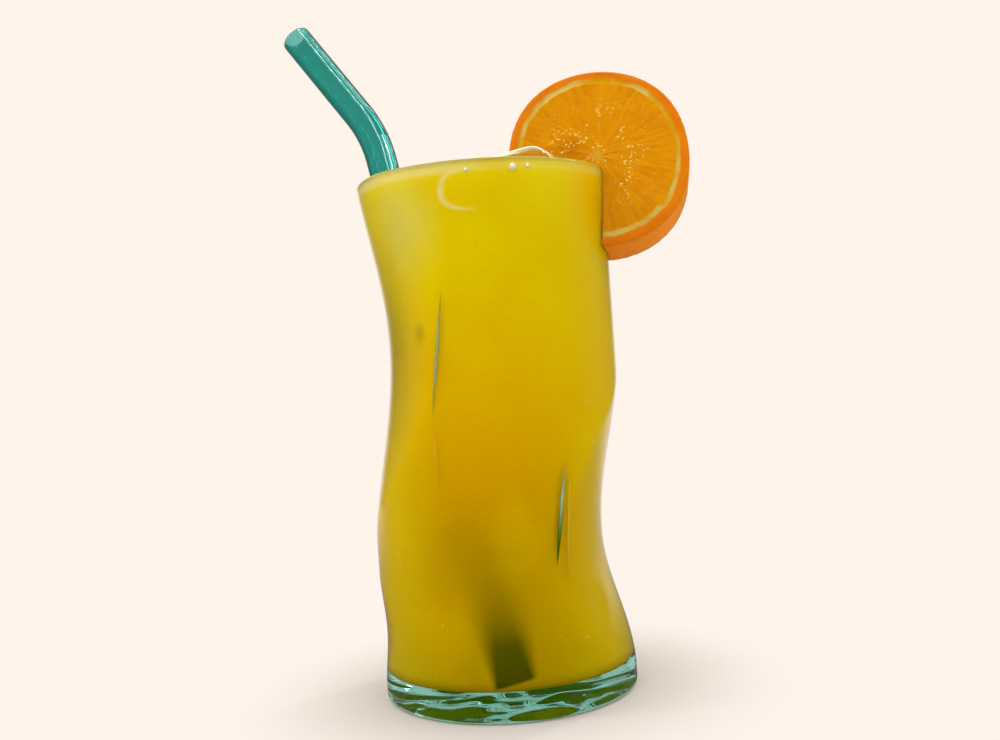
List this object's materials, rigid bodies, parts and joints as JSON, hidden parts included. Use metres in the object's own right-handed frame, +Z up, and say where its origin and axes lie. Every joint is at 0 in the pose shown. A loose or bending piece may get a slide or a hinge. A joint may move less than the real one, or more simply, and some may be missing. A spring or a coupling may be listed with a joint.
{
  "type": "glass of orange juice",
  "caption": "Tall pressed tumbler of orange juice with a bent glass straw, a thick orange slice slit onto the rim and a floating ice cube; stands on its flat base.",
  "frame": {"origin": "middle of the tumbler's underside, on the surface it stands on", "axes": "+Z up along the tumbler's axis, the viewer on the -Y side, +X to the viewer's right, where the slice is"},
  "size_m": [0.1229, 0.075, 0.2087],
  "materials": {
    "tumbler_glass": "clear, pale green-blue, polished",
    "juice": "cloudy yellow-orange liquid",
    "straw_glass": "clear teal, polished",
    "orange_flesh": "moist orange flesh with pale pith and orange peel",
    "ice": "wet clear ice"
  },
  "bodies": {
    "root": {"glass": "tumbler_glass", "juice": "juice", "straw": "straw_glass", "orange_slice": "orange_flesh", "ice_cube": "ice"}
  },
  "joints": []
}
